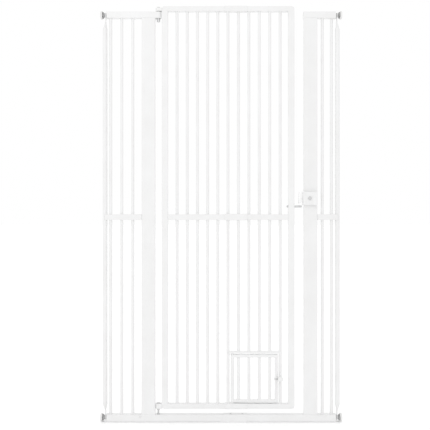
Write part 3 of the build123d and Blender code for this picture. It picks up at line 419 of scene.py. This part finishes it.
def islands(node):
    """The box of each separate solid in a CAD node, as (lowest corner, highest corner)."""
    data = frame["nodes"][node].data
    places = {}
    index = []
    for vertex in data.vertices:
        place = tuple(round(part / SAME_PLACE) for part in vertex.co)
        index.append(places.setdefault(place, len(places)))
    group = list(range(len(places)))

    def root(place):
        """The place that stands for a solid's joined places."""
        while group[place] != place:
            group[place] = group[group[place]]
            place = group[place]
        return place

    for polygon in data.polygons:
        corners = [root(index[v]) for v in polygon.vertices]
        for corner in corners[1:]:
            group[corner] = corners[0]
            corners[0] = root(corners[0])
    boxes = {}
    for vertex in data.vertices:
        low, high = boxes.setdefault(root(index[vertex.index]), (Vector(vertex.co), Vector(vertex.co)))
        for axis in range(3):
            low[axis] = min(low[axis], vertex.co[axis])
            high[axis] = max(high[axis], vertex.co[axis])
    return sorted(boxes.values(), key=lambda box: tuple(box[0]))


def centre_of(box):
    """The middle of a box given as (lowest corner, highest corner)."""
    return (box[0] + box[1]) / 2


def facing(origin, direction):
    """A frame at origin whose Z points along direction."""
    return Matrix.Translation(origin) @ Vector(direction).to_track_quat("Z", "Y").to_matrix().to_4x4()


def standing(box, direction):
    """A frame on the face of a box that it stands on, for a Z along direction, and its height in mm."""
    low, high = box
    axis = max(range(3), key=lambda number: abs(direction[number]))
    foot = centre_of(box)
    foot[axis] = low[axis] if direction[axis] > 0 else high[axis]
    return facing(foot, direction), (high[axis] - low[axis]) / MM


def piece(name, mesh, body, slot, stands_for=()):
    """Makes mesh an object that rides on body, with the finish of slot, and hides the nodes it stands for."""
    bmesh.ops.remove_doubles(mesh, verts=mesh.verts, dist=MERGE)
    bmesh.ops.dissolve_degenerate(mesh, edges=mesh.edges, dist=SLIVER)
    bmesh.ops.recalc_face_normals(mesh, faces=mesh.faces)
    data = bpy.data.meshes.new(name)
    mesh.to_mesh(data)
    mesh.free()
    data.polygons.foreach_set("use_smooth", [True] * len(data.polygons))
    data.set_sharp_from_angle(angle=math.radians(CREASE))
    data.materials.append(FINISHES[slot])
    made = bpy.data.objects.new(name, data)
    bpy.context.scene.collection.objects.link(made)
    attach(made, body)
    if stands_for:
        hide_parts(*stands_for)
    return made


def stand_in(name, mesh, node):
    """A piece that takes the place of one CAD node, with that node's body and slot."""
    return piece(name, mesh, body_of(node), slot_of(node), [node])


def lathe(mesh, place, profile, steps=ROUND_STEPS):
    """Turns an outline about the Z of place. profile(angle) is a loop of (radius, height) points in mm."""
    rings = []
    for step in range(steps):
        angle = TURN * step / steps
        spoke = Vector((math.cos(angle), math.sin(angle), 0)) * MM
        points = [spoke * radius + Z_AXIS * height * MM for radius, height in profile(angle)]
        rings.append([mesh.verts.new(place @ point) for point in points])
    outline = profile(0)
    for here, there in zip(rings, rings[1:] + rings[:1]):
        for first in range(len(outline)):
            second = (first + 1) % len(outline)
            if outline[first][0] > 0 or outline[second][0] > 0:
                mesh.faces.new((here[first], there[first], there[second], here[second]))


def sweep(mesh, stations, section, closed=False):
    """Carries a closed section along stations, each a point and the section's two directions."""
    loops = []
    for number, (point, across, out) in enumerate(stations):
        loops.append([mesh.verts.new(point + across * a + out * b) for a, b in section(number)])
    count = len(loops[0])
    following = loops[1:] + loops[:1] if closed else loops[1:]
    for here, there in zip(loops, following):
        for first in range(count):
            second = (first + 1) % count
            mesh.faces.new((here[first], there[first], there[second], here[second]))
    if not closed:
        mesh.faces.new(loops[0])
        mesh.faces.new(loops[-1][::-1])


def weld_section(size):
    """A rippled bead in the corner between two faces, sunk a little into both."""

    def section(number):
        swell = size * (1 + RIPPLE * math.cos(TURN * number / RIPPLE_STEPS))
        crown = [swell * WELD_BULGE * Vector((math.cos(a), math.sin(a))) for a in CROWN_ANGLES]
        return [(-WELD_SINK, -WELD_SINK), (swell, -WELD_SINK), *crown, (-WELD_SINK, swell)]

    return section


def seam_section(number):
    """A low dressed weld that lies flat across a mitre."""
    return [
        (-SEAM_HALF, -WELD_SINK),
        (-SEAM_HALF / 2, SEAM_HEIGHT),
        (SEAM_HALF / 2, SEAM_HEIGHT),
        (SEAM_HALF, -WELD_SINK),
    ]


def ring_weld(mesh, centre, radius, up, size=BAR_WELD, start=0.0, end=TURN):
    """A weld round the foot of a round tube, or round part of it."""
    closed = end - start >= TURN
    count = max(3, round((end - start) * radius / WELD_STEP))
    stations = []
    for step in range(count if closed else count + 1):
        angle = start + (end - start) * step / count
        spoke = Vector((math.cos(angle), math.sin(angle), 0))
        stations.append((centre + spoke * radius, spoke, up))
    sweep(mesh, stations, weld_section(size), closed)


def line_weld(mesh, start, end, across, out, section):
    """A weld along a straight line."""
    count = max(2, round((end - start).length / WELD_STEP))
    sweep(mesh, [(start.lerp(end, step / count), across, out) for step in range(count + 1)], section)


def foot_weld(mesh, box, level, up):
    """A weld round the foot of an upright rectangular tube."""
    middle = centre_of(box)
    half = (box[1] - box[0]) / 2
    bends = []
    for quarter, (side_x, side_y) in enumerate(((1, 1), (-1, 1), (-1, -1), (1, -1))):
        pivot_x = middle.x + side_x * (half.x - TUBE_CORNER)
        pivot_y = middle.y + side_y * (half.y - TUBE_CORNER)
        for step in range(TUBE_CORNER_STEPS + 1):
            angle = TURN / 4 * (quarter + step / TUBE_CORNER_STEPS)
            spoke = Vector((math.cos(angle), math.sin(angle), 0))
            bends.append((Vector((pivot_x, pivot_y, level)) + spoke * TUBE_CORNER, spoke, up))
    stations = []
    for here, there in zip(bends, bends[1:] + bends[:1]):
        count = max(1, round((there[0] - here[0]).length / WELD_STEP))
        stations += [tuple(a.lerp(b, step / count) for a, b in zip(here, there)) for step in range(count)]
    sweep(mesh, stations, weld_section(RAIL_WELD), closed=True)


def bar_welds(mesh, node):
    """The welds at both ends of every round bar in a node."""
    for low, high in islands(node):
        middle = centre_of((low, high))
        radius = (high.x - low.x) / 2
        ring_weld(mesh, Vector((middle.x, middle.y, low.z)), radius, Z_AXIS)
        ring_weld(mesh, Vector((middle.x, middle.y, high.z)), radius, -Z_AXIS)


def corner_weld(mesh, x, z, across, out, half_depth):
    """A weld from front to back, in the corner that two faces make at x and z."""
    reach = half_depth - TUBE_CORNER
    line_weld(mesh, Vector((x, -reach, z)), Vector((x, reach, z)), across, out, weld_section(RAIL_WELD))


def rail_end_welds(mesh, rail, x, away):
    """The welds over and under a rail where it butts on a face at x. away points along the rail."""
    low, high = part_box(rail)
    for z, out in ((high.z, Z_AXIS), (low.z, -Z_AXIS)):
        corner_weld(mesh, x, z, X_AXIS * away, out, high.y)


def panel_welds(side_name, side):
    """A side panel's welds: its bars, its post, and its middle rail between post and outer tube."""
    mesh = bmesh.new()
    bar_welds(mesh, f"{side_name}_panel_bars")
    post_low, post_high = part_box(f"{side_name}_post")
    foot_weld(mesh, (post_low, post_high), post_low.z, Z_AXIS)
    top_low, top_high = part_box(f"{side_name}_top_rail")
    for x, across in ((post_low.x, -X_AXIS), (post_high.x, X_AXIS)):
        if top_low.x < x < top_high.x:
            corner_weld(mesh, x, post_high.z, across, -Z_AXIS, post_high.y)
    rail = f"{side_name}_mid_rail"
    low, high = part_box(rail)
    rail_end_welds(mesh, rail, high.x if side < 0 else low.x, side)
    stile_low, stile_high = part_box(f"{side_name}_outer_stile")
    radius = (stile_high.x - stile_low.x) / 2
    centre_x = low.x if side < 0 else high.x
    start = TURN / 4 if side > 0 else -TURN / 4
    for z, up in ((high.z, Z_AXIS), (low.z, -Z_AXIS)):
        ring_weld(mesh, Vector((centre_x, 0, z)), radius, up, BAR_WELD, start, start + TURN / 2)
    piece(f"{side_name}_frame_welds", mesh, f"{side_name}_frame", "white_paint")


def mitre_seams(mesh, stile, rail, inward):
    """The dressed welds across the mitre of a stile and a rail, front and back, and in its inner corner."""
    stile_low, stile_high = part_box(stile)
    rail_low, rail_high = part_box(rail)
    upper = rail_low.z > (stile_low.z + stile_high.z) / 2
    outer_x, inner_x = (stile_low.x, stile_high.x) if inward > 0 else (stile_high.x, stile_low.x)
    outer_z, inner_z = (rail_high.z, rail_low.z) if upper else (rail_low.z, rail_high.z)
    start = Vector((outer_x, 0, outer_z))
    end = Vector((inner_x, 0, inner_z))
    along = (end - start).normalized()
    radius = DOOR_CORNER if upper else TUBE_CORNER
    start += along * (radius * CORNER_CUT + TUBE_CORNER)
    end -= along * TUBE_CORNER / 2
    for face, out in ((stile_low.y, -Y_AXIS), (stile_high.y, Y_AXIS)):
        lift = Y_AXIS * face
        line_weld(mesh, start + lift, end + lift, along.cross(Y_AXIS), out, seam_section)
    corner_weld(mesh, inner_x, inner_z, X_AXIS * inward, Z_AXIS * (-1 if upper else 1), stile_high.y)


def door_welds(half, stile, inward):
    """One half of the door: its bars, mitres and middle rail."""
    mesh = bmesh.new()
    bar_welds(mesh, f"door_bars_{half}")
    for level in ("top", "bottom"):
        mitre_seams(mesh, stile, f"door_{level}_rail_{half}", inward)
    stile_low, stile_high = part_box(stile)
    rail_end_welds(mesh, f"door_mid_rail_{half}", stile_high.x if inward > 0 else stile_low.x, inward)
    if half == "left":
        for low, high in islands("door_hinge_arms"):
            upper = low.z > (stile_low.z + stile_high.z) / 2
            level, out = (low.z, -Z_AXIS) if upper else (high.z, Z_AXIS)
            corner_weld(mesh, stile_low.x, level, -X_AXIS, out, stile_high.y)
    else:
        bar_welds(mesh, "flap_latch_bar")
        lower, upper = sorted(islands("flap_pivots"), key=lambda box: box[0].z)
        middle = centre_of(lower)
        radius = (lower[1].x - lower[0].x) / 2
        for level, up in ((lower[0].z, Z_AXIS), (upper[1].z, -Z_AXIS)):
            ring_weld(mesh, Vector((middle.x, middle.y, level)), radius, up)
    piece(f"door_{half}_welds", mesh, f"door_{half}", "white_paint")


def flap_welds():
    """The pet flap's bars are welded to its rails on two sides, which leaves its front and back flat."""
    mesh = bmesh.new()
    flap_low, flap_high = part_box("flap_frame")
    for low, high in islands("flap_frame"):
        upright = high.z - low.z > high.x - low.x
        if upright and high.z < flap_high.z and low.z > flap_low.z:
            middle = centre_of((low, high))
            radius = (high.x - low.x) / 2
            for level, up in ((low.z, Z_AXIS), (high.z, -Z_AXIS)):
                centre = Vector((middle.x, middle.y, level))
                for turn in (0, TURN / 2):
                    start = turn - FLAP_WELD_REACH
                    ring_weld(mesh, centre, radius, up, BAR_WELD, start, turn + FLAP_WELD_REACH)
    piece("pet_flap_welds", mesh, "pet_flap", "white_paint")


def hexagon(corner_radius, angle):
    """The radius of a hexagon at an angle."""
    turn = angle % (TURN / 6) - TURN / 12
    return corner_radius * HEX_FLAT / math.cos(turn)


def hex_chamfer(corner_radius, angle):
    """How far a turned chamfer lowers a hexagon's corners at an angle."""
    return (hexagon(corner_radius, angle) - corner_radius * HEX_FLAT) * HEX_SLOPE


def hex_socket(socket, mouth, angle):
    """The wall and floor of a hexagon socket, from its mouth's height down."""
    corner_radius, depth, drop = socket
    radius = hexagon(corner_radius, angle)
    return [(radius, mouth), (radius, mouth - depth), (0, mouth - depth - drop)]


def cross(angle):
    """The radius of a cross recess at an angle."""
    turn = abs((angle + TURN / 8) % (TURN / 4) - TURN / 8)
    if CROSS_LENGTH * math.tan(turn) <= CROSS_HALF:
        return CROSS_LENGTH / math.cos(turn)
    return CROSS_HALF / math.sin(turn)


def raised(outline, lift):
    """An outline moved up."""
    return [(radius, height + lift) for radius, height in outline]


def threaded_rod(mesh, place, length, radius):
    """A rod with a real helical thread. It starts and ends a turn outside the rod, and is cut off flat."""
    rows = []
    for turn in range(math.ceil(length / PITCH) + 2):
        for share, depth in THREAD_SHAPE:
            row = []
            for column in range(THREAD_COLUMNS):
                angle = TURN * column / THREAD_COLUMNS
                height = (turn + share + column / THREAD_COLUMNS - 1) * PITCH
                ended = height <= 0 or height >= length
                reach = radius - (THREAD_DEPTH if ended else THREAD_DEPTH * depth)
                at = Vector((reach * math.cos(angle), reach * math.sin(angle), min(max(height, 0), length)))
                row.append(mesh.verts.new(place @ at))
            rows.append(row)
    step = len(THREAD_SHAPE)
    for here in range(len(rows) - 1):
        for column in range(THREAD_COLUMNS):
            beside, shift = (column + 1, 0) if column + 1 < THREAD_COLUMNS else (0, step)
            if here + 1 + shift < len(rows):
                corners = (rows[here][column], rows[here + shift][beside], rows[here + 1 + shift][beside])
                mesh.faces.new((*corners, rows[here + 1][column]))
    bmesh.ops.remove_doubles(mesh, verts=mesh.verts, dist=MERGE)
    bmesh.ops.holes_fill(mesh, edges=[edge for edge in mesh.edges if edge.is_boundary])


def turned(name, node, direction, profile, steps=HEX_STEPS):
    """Replaces each solid of a CAD node by a turned one. profile(angle, height) gives its outline.

    direction is the way that they stand, or a function that gives it for the middle of each.
    """
    mesh = bmesh.new()
    for box in islands(node):
        place, height = standing(box, direction(centre_of(box)) if callable(direction) else direction)
        lathe(mesh, place, lambda angle: profile(angle, height), steps)
    stand_in(name, mesh, node)


def fixed(outline):
    """The profile of a part that is round, and whose outline doesn't depend on its height."""
    return lambda angle, height: outline


def hand_nut(angle, height):
    """A cone-shaped nut with rounded notches for the fingers, which fade out towards its hub."""
    notch = abs(math.cos(angle * NUT_NOTCHES / 2)) ** NUT_NOTCH_POWER
    outline = []
    for radius, level in HAND_NUT:
        grip = max(0.0, (radius - NUT_HUB_R) / (NUT_R - NUT_HUB_R))
        outline.append((radius - NUT_NOTCH_DEPTH * notch * grip, level))
    return outline


def wall_pad(mesh, place):
    """A round pad: a socket and eight ribs on the gate's side, and three grip grooves on the wall's side."""
    lathe(mesh, place, lambda angle: WALL_PAD, SMOOTH_STEPS)
    inner, outer = PAD_RIB_SPAN
    low, high = PAD_RIB_HEIGHTS
    for rib in range(PAD_RIBS):
        turn = Matrix.Rotation(TURN * rib / PAD_RIBS, 4, "Z")
        size = Matrix.Diagonal((outer - inner, PAD_RIB_WIDTH, high - low, 1))
        at = Matrix.Translation(((inner + outer) / 2, 0, (low + high) / 2))
        bmesh.ops.create_cube(mesh, size=1, matrix=place @ Matrix.Scale(MM, 4) @ turn @ at @ size)


def wall_feet():
    """Each wall foot: a threaded spindle with its pad, and the nut that drives it out."""
    for side_name, side in SIDES:
        away = X_AXIS * side
        for level in ("top", "bottom"):
            tag = f"{level}_{side_name}"
            low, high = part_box(f"spindle_{tag}")
            mesh = bmesh.new()
            place = standing((low, high), away)[0]
            threaded_rod(mesh, place, high.x - low.x, (high.z - low.z) / 2)
            stand_in(f"thread_{tag}", mesh, f"spindle_{tag}")
            turned(f"notched_nut_{tag}", f"hand_nut_{tag}", away, hand_nut, NUT_STEPS)
            mesh = bmesh.new()
            wall_pad(mesh, standing(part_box(f"wall_pad_{tag}"), away)[0])
            stand_in(f"ribbed_pad_{tag}", mesh, f"wall_pad_{tag}")


def collars():
    """The plastic inserts in the wall ends of the top and floor rails."""
    for side_name, side in SIDES:
        node = f"{side_name}_collars"
        turned(f"moulded_{node}", node, X_AXIS * side, fixed(COLLAR), ROUND_STEPS)


def hinge_bolt(angle, height):
    """The upper pivot bolt: a round head with a hexagon socket."""
    socket = hex_socket(HINGE_BOLT_SOCKET, height, angle)
    return [*HINGE_BOLT_FOOT, *raised(HINGE_BOLT_TOP, height), *socket]


def hinge_nut(angle, height):
    """The nut under the top rail, with a flange that lies against the rail."""
    side = hexagon(HINGE_NUT_HEX, angle)
    low = hex_chamfer(HINGE_NUT_HEX, angle) + HINGE_NUT_RISE
    wall = [(side, low), (side, height - HINGE_NUT_FLANGE)]
    return [*HINGE_NUT_FOOT, *wall, *raised(HINGE_NUT_TOP, height)]


def hinge_pin(angle, height):
    """The lower pivot pin, with its hexagon part of the way up."""
    side = hexagon(HINGE_PIN_HEX, angle)
    low, high = HINGE_PIN_HEX_HEIGHTS
    wall = [(side, low), (side, high - hex_chamfer(HINGE_PIN_HEX, angle))]
    return [*HINGE_PIN_FOOT, *wall, *HINGE_PIN_SEAT, *raised(HINGE_PIN_TOP, height)]


def hinge_hardware():
    """The bushes in the door's arms, the upper pivot bolt with its nut, and the lower pivot pin."""
    lower, upper = sorted(islands("hinge_bushes"), key=lambda box: box[0].z)
    mesh = bmesh.new()
    lathe(mesh, standing(lower, Z_AXIS)[0], lambda angle: LOWER_BUSH)
    lathe(mesh, standing(upper, Z_AXIS)[0], lambda angle: TOP_BUSH)
    stand_in("moulded_hinge_bushes", mesh, "hinge_bushes")
    turned("socket_head_hinge_bolt", "top_hinge_bolt", Z_AXIS, hinge_bolt)
    turned("flanged_hinge_nut", "top_hinge_nut", Z_AXIS, hinge_nut)
    turned("turned_hinge_pin", "bottom_hinge_pin", Z_AXIS, hinge_pin)


def floor_bolt(angle, height):
    """A domed bolt head with a hexagon socket."""
    return [*FLOOR_BOLT, *hex_socket(FLOOR_BOLT_SOCKET, FLOOR_BOLT_HEIGHT, angle)]


def pan_screw(angle, height):
    """A pan-head screw with a cross recess, standing on its tip."""
    recess = cross(angle)
    hollow = [(recess, 0), (recess * CROSS_TAPER, -CROSS_DEPTH), (0, -CROSS_TIP_DEPTH)]
    return [*SCREW_FOOT, *raised([*SCREW_TOP, *hollow], height)]


def sleeve_screw_direction(middle):
    """Heads point up from the highest rail, down from the lowest, and back from the middle one."""
    low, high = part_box("door_sleeves")
    share = (middle.z - low.z) / (high.z - low.z)
    if share > TOP_SLEEVE_SHARE:
        return Z_AXIS
    return Y_AXIS if share > LOWEST_SLEEVE_SHARE else -Z_AXIS


def button_bezel():
    """The ring round the button on the front of the lock case."""
    middle = centre_of(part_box("lock_button"))
    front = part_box("lock_housing")[0].y
    mesh = bmesh.new()
    place = facing(Vector((middle.x, front, middle.z)), -Y_AXIS)
    lathe(mesh, place, lambda angle: BEZEL, SMOOTH_STEPS)
    piece("lock_button_bezel", mesh, "right_frame", "white_plastic")


def button_spring():
    """The coil spring behind the button."""
    low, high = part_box("lock_button_spring")
    centre = centre_of((low, high))
    coil_radius = (high.x - low.x) / 2 - SPRING_WIRE_R
    start_y = low.y + SPRING_WIRE_R
    length = high.y - low.y - 2 * SPRING_WIRE_R
    stations = []
    for step in range(SPRING_TURNS * SPRING_STEPS + 1):
        angle = TURN * step / SPRING_STEPS
        spoke = Vector((math.cos(angle), 0, math.sin(angle)))
        y = start_y + length * step / (SPRING_TURNS * SPRING_STEPS)
        stations.append((Vector((centre.x, y, centre.z)) + spoke * coil_radius, spoke, Y_AXIS))
    corners = [TURN * side / WIRE_SIDES for side in range(WIRE_SIDES)]
    wire = [(SPRING_WIRE_R * math.cos(corner), SPRING_WIRE_R * math.sin(corner)) for corner in corners]
    mesh = bmesh.new()
    sweep(mesh, stations, lambda number: wire)
    spring = stand_in("coiled_button_spring", mesh, "lock_button_spring")
    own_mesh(spring)


def striker_nut(angle, height):
    """A plain hexagon nut, chamfered at both ends."""
    side = hexagon(STRIKER_NUT_HEX, angle)
    fall = hex_chamfer(STRIKER_NUT_HEX, angle)
    wall = [(side, fall), (side, height - fall)]
    return [*STRIKER_NUT_FOOT, *wall, *raised(STRIKER_NUT_TOP, height)]


def lock_parts():
    """The push button and its bezel, the spring behind it, and the nut on the striker rod."""
    turned("dished_lock_button", "lock_button", -Y_AXIS, fixed(BUTTON), SMOOTH_STEPS)
    button_bezel()
    button_spring()
    turned("hex_striker_nut", "striker_nut", -X_AXIS, striker_nut)


def knob(angle, height):
    """A dished knob on its shaft, with fine grips round its rim."""
    grip = KNOB_GRIP_DEPTH * abs(math.cos(angle * KNOB_GRIPS / 2))
    return [(radius - grip if radius > KNOB_GRIP_R else radius, level) for radius, level in KNOB]


def finger_outline():
    """A latch finger's outline, with each point's normal: an eye below, straight sides, and a round tip."""
    side_angle = math.asin(FINGER_TIP_R / FINGER_EYE_R)
    outline = []
    for step in range(2 * FINGER_STEPS + 1):
        angle = TURN / 4 + side_angle + (TURN - 2 * side_angle) * step / (2 * FINGER_STEPS)
        spoke = Vector((math.cos(angle), math.sin(angle)))
        outline.append((spoke * FINGER_EYE_R, spoke))
    for step in range(FINGER_STEPS + 1):
        angle = TURN / 2 * step / FINGER_STEPS
        spoke = Vector((math.cos(angle), math.sin(angle)))
        outline.append((Vector((0, FINGER_LENGTH)) + spoke * FINGER_TIP_R, spoke))
    return outline


def latch_fingers():
    """The two fingers that turn with the knob, with their edges eased."""
    middle = centre_of(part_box("flap_knob"))
    far = FINGER_THICKNESS - FINGER_EDGE
    edges = ((FINGER_EDGE, 0), (0, FINGER_EDGE), (0, far), (FINGER_EDGE, FINGER_THICKNESS))
    mesh = bmesh.new()
    for low, _ in islands("flap_fingers"):
        loops = []
        for inset, height in edges:
            flat = [point - normal * inset for point, normal in finger_outline()]
            base = Vector((middle.x, low.y, middle.z))
            loops.append([mesh.verts.new(base + Vector((p.x, height, p.y)) * MM) for p in flat])
        for here, there in zip(loops, loops[1:]):
            for first in range(len(here)):
                second = (first + 1) % len(here)
                mesh.faces.new((here[first], here[second], there[second], there[first]))
        mesh.faces.new(loops[0][::-1])
        mesh.faces.new(loops[-1])
    stand_in("eased_flap_fingers", mesh, "flap_fingers")


def flap_latch():
    """The knob beside the pet flap, and its fingers."""
    turned("dished_flap_knob", "flap_knob", -Y_AXIS, knob, KNOB_STEPS)
    latch_fingers()


def camera():
    """A camera in front of the posts, level and square to the gate."""
    data = bpy.data.cameras.new("camera")
    data.sensor_width = SENSOR_WIDTH
    data.lens = SENSOR_WIDTH * CAMERA_DISTANCE / VIEW_WIDTH
    made = bpy.data.objects.new("camera", data)
    bpy.context.scene.collection.objects.link(made)
    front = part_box("left_post")[0].y
    made.location = (CAMERA_X, front - CAMERA_DISTANCE, CAMERA_Z)
    made.rotation_euler = (TURN / 4, 0, 0)
    bpy.context.scene.camera = made


def room():
    """White light from all round, and one soft lamp high in front on the left."""
    scene = bpy.context.scene
    scene.view_settings.view_transform = "Standard"
    scene.world = bpy.data.worlds.new("studio")
    scene.world.use_nodes = True
    background = scene.world.node_tree.nodes["Background"]
    background.inputs["Color"].default_value = WHITE
    background.inputs["Strength"].default_value = WORLD_STRENGTH
    lamp = bpy.data.lights.new("key", "AREA")
    lamp.size = KEY_SIZE
    lamp.energy = KEY_POWER
    key = bpy.data.objects.new("key", lamp)
    scene.collection.objects.link(key)
    key.matrix_world = facing(KEY_PLACE, KEY_PLACE - centre_of(cad_box))


def pale_floor():
    """The studio floor, just under the gate."""
    ground = Finish("floor")
    colour = ground.ramp(ground.noise(scale=3.0), low=FLOOR_DEEP, high=FLOOR_PALE)
    soft = ground.between(ground.noise(scale=30.0), low=0.75, high=0.85)
    texture = ground.relief(ground.noise(scale=250.0), depth=0.05 * MM)
    ground.done(colour, soft, texture, Emission_Color=WHITE, Emission_Strength=FLOOR_GLOW)
    data = bpy.data.meshes.new("floor")
    corners = []
    for side_x, side_y in ((-1, -1), (1, -1), (1, 1), (-1, 1)):
        corners.append((side_x * FLOOR_HALF, side_y * FLOOR_HALF, -FLOOR_DROP))
    data.from_pydata(corners, [], [(0, 1, 2, 3)])
    data.materials.append(ground.material)
    floor = bpy.data.objects.new("floor", data)
    bpy.context.scene.collection.objects.link(floor)


finish_cad_nodes()
panel_welds("left", -1)
panel_welds("right", 1)
door_welds("left", "door_hinge_stile", 1)
door_welds("right", "door_latch_stile", -1)
flap_welds()
wall_feet()
collars()
hinge_hardware()
turned("socket_floor_bolt", "floor_rail_bolt", -Y_AXIS, floor_bolt)
turned("cross_head_door_screws", "door_sleeve_screws", sleeve_screw_direction, pan_screw)
turned("cross_head_floor_screws", "floor_sleeve_screws", Z_AXIS, pan_screw)
turned("cross_head_lock_screws", "lock_screws", Y_AXIS, pan_screw)
lock_parts()
flap_latch()
camera()
room()
pale_floor()
